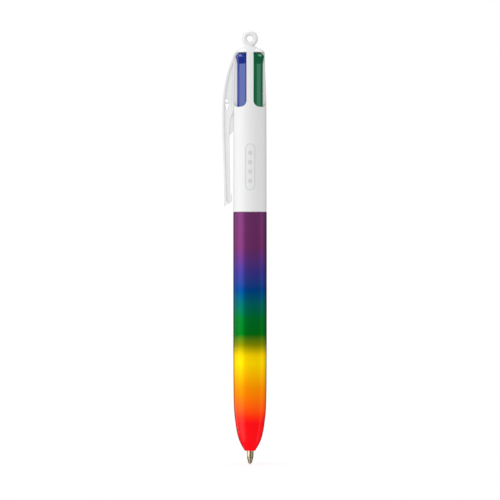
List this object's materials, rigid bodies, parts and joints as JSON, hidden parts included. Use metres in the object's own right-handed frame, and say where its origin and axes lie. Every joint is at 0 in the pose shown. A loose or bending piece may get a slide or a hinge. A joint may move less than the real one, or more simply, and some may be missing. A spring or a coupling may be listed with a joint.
{
  "type": "multicolor click pen",
  "caption": "Ballpoint pen with coloured slide buttons in windows round its top, a ring at the end, a springy pocket clip and a two-part barrel with a colour-gradient lower half.",
  "frame": {"origin": "lowest point of the ball of the refill that is out, on the barrel's long axis", "axes": "+Z along the barrel from the writing tip to the ring; -X towards the pocket clip; the ring's hole runs along Y"},
  "size_m": [0.0154, 0.0115, 0.1489],
  "materials": {
    "white_plastic": "satin white injection-moulded plastic",
    "gradient_plastic": "satin printed barrel, colour running purple, blue, green, yellow, orange, red down the length",
    "guide_plastic": "natural white plastic",
    "slider_black_plastic": "glossy black plastic",
    "slider_blue_plastic": "glossy deep blue plastic",
    "slider_red_plastic": "glossy red plastic",
    "slider_green_plastic": "glossy dark green plastic",
    "spring_steel": "drawn steel wire",
    "tube_plastic": "clear milky plastic tube",
    "point_metal": "turned brass",
    "ball_metal": "ground hard metal ball",
    "ink_black": "black writing paste",
    "ink_blue": "blue writing paste",
    "ink_red": "red writing paste",
    "ink_green": "green writing paste"
  },
  "bodies": {
    "upper_body": {"upper_barrel": "white_plastic", "refill_guide": "guide_plastic", "spring_black": "spring_steel", "spring_blue": "spring_steel", "spring_red": "spring_steel", "spring_green": "spring_steel"},
    "lower_body": {"lower_barrel": "gradient_plastic"},
    "clip_body": {"pocket_clip": "white_plastic"},
    "slider_black_body": {"slider_black": "slider_black_plastic"},
    "refill_black_body": {"refill_tube_black": "tube_plastic", "refill_point_black": "point_metal", "ink_black": "ink_black"},
    "ball_black_body": {"ball_black": "ball_metal"},
    "slider_blue_body": {"slider_blue": "slider_blue_plastic"},
    "refill_blue_body": {"refill_tube_blue": "tube_plastic", "refill_point_blue": "point_metal", "ink_blue": "ink_blue"},
    "ball_blue_body": {"ball_blue": "ball_metal"},
    "slider_red_body": {"slider_red": "slider_red_plastic"},
    "refill_red_body": {"refill_tube_red": "tube_plastic", "refill_point_red": "point_metal", "ink_red": "ink_red"},
    "ball_red_body": {"ball_red": "ball_metal"},
    "slider_green_body": {"slider_green": "slider_green_plastic"},
    "refill_green_body": {"refill_tube_green": "tube_plastic", "refill_point_green": "point_metal", "ink_green": "ink_green"},
    "ball_green_body": {"ball_green": "ball_metal"}
  },
  "joints": [
    {"name": "slide_black", "type": "slide", "parent": "upper_body", "child": "slider_black_body", "axis": [0, 0, -1], "range_m": [-0.01, 0], "stiffness_N_per_m": 12, "springref_m": 0.004, "deforming": ["spring_black", "refill_tube_black", "refill_point_black", "ink_black", "ball_black"]},
    {"name": "lean_black", "type": "hinge", "parent": "slider_black_body", "child": "refill_black_body", "pos_m": [0.00187, 0.00187, 0.1005], "axis": [-0.7071, 0.7071, 0], "range_deg": [-1.51, 0]},
    {"name": "roll_black", "type": "hinge", "parent": "refill_black_body", "child": "ball_black_body", "pos_m": [0.00001, 0.00001, 0.0005], "axis": [1, 0, 0], "continuous": true},
    {"name": "slide_blue", "type": "slide", "parent": "upper_body", "child": "slider_blue_body", "axis": [0, 0, -1], "range_m": [0, 0.01], "stiffness_N_per_m": 12, "springref_m": -0.008, "deforming": ["spring_blue", "refill_tube_blue", "refill_point_blue", "ink_blue", "ball_blue"]},
    {"name": "lean_blue", "type": "hinge", "parent": "slider_blue_body", "child": "refill_blue_body", "pos_m": [-0.00187, -0.00187, 0.1105], "axis": [0.7071, -0.7071, 0], "range_deg": [0, 1.51]},
    {"name": "roll_blue", "type": "hinge", "parent": "refill_blue_body", "child": "ball_blue_body", "pos_m": [-0.00187, -0.00187, 0.01047], "axis": [1, 0, 0], "continuous": true},
    {"name": "slide_red", "type": "slide", "parent": "upper_body", "child": "slider_red_body", "axis": [0, 0, -1], "range_m": [0, 0.01], "stiffness_N_per_m": 12, "springref_m": -0.008, "deforming": ["spring_red", "refill_tube_red", "refill_point_red", "ink_red", "ball_red"]},
    {"name": "lean_red", "type": "hinge", "parent": "slider_red_body", "child": "refill_red_body", "pos_m": [-0.00187, 0.00187, 0.1105], "axis": [-0.7071, -0.7071, 0], "range_deg": [0, 1.51]},
    {"name": "roll_red", "type": "hinge", "parent": "refill_red_body", "child": "ball_red_body", "pos_m": [-0.00187, 0.00187, 0.01047], "axis": [1, 0, 0], "continuous": true},
    {"name": "slide_green", "type": "slide", "parent": "upper_body", "child": "slider_green_body", "axis": [0, 0, -1], "range_m": [0, 0.01], "stiffness_N_per_m": 12, "springref_m": -0.008, "deforming": ["spring_green", "refill_tube_green", "refill_point_green", "ink_green", "ball_green"]},
    {"name": "lean_green", "type": "hinge", "parent": "slider_green_body", "child": "refill_green_body", "pos_m": [0.00187, -0.00187, 0.1105], "axis": [0.7071, 0.7071, 0], "range_deg": [0, 1.51]},
    {"name": "roll_green", "type": "hinge", "parent": "refill_green_body", "child": "ball_green_body", "pos_m": [0.00187, -0.00187, 0.01047], "axis": [1, 0, 0], "continuous": true},
    {"name": "clip_flex", "type": "hinge", "parent": "upper_body", "child": "clip_body", "pos_m": [-0.0082, 0, 0.1222], "axis": [0, 1, 0], "range_deg": [0, 5], "stiffness_Nm_per_rad": 0.02, "deforming": ["pocket_clip"]},
    {"name": "lower_barrel_off", "type": "slide", "parent": "upper_body", "child": "lower_body", "axis": [0, 0, -1], "range_m": [0, 0.09], "stiffness_N_per_m": 8, "springref_m": -0.012}
  ],
  "couplings": [
    {"joint": "lean_black", "follows": "slide_black", "rad_per_m": 2.6362},
    {"joint": "lean_blue", "follows": "slide_blue", "rad_per_m": 2.6362},
    {"joint": "lean_red", "follows": "slide_red", "rad_per_m": 2.6362},
    {"joint": "lean_green", "follows": "slide_green", "rad_per_m": 2.6362}
  ]
}
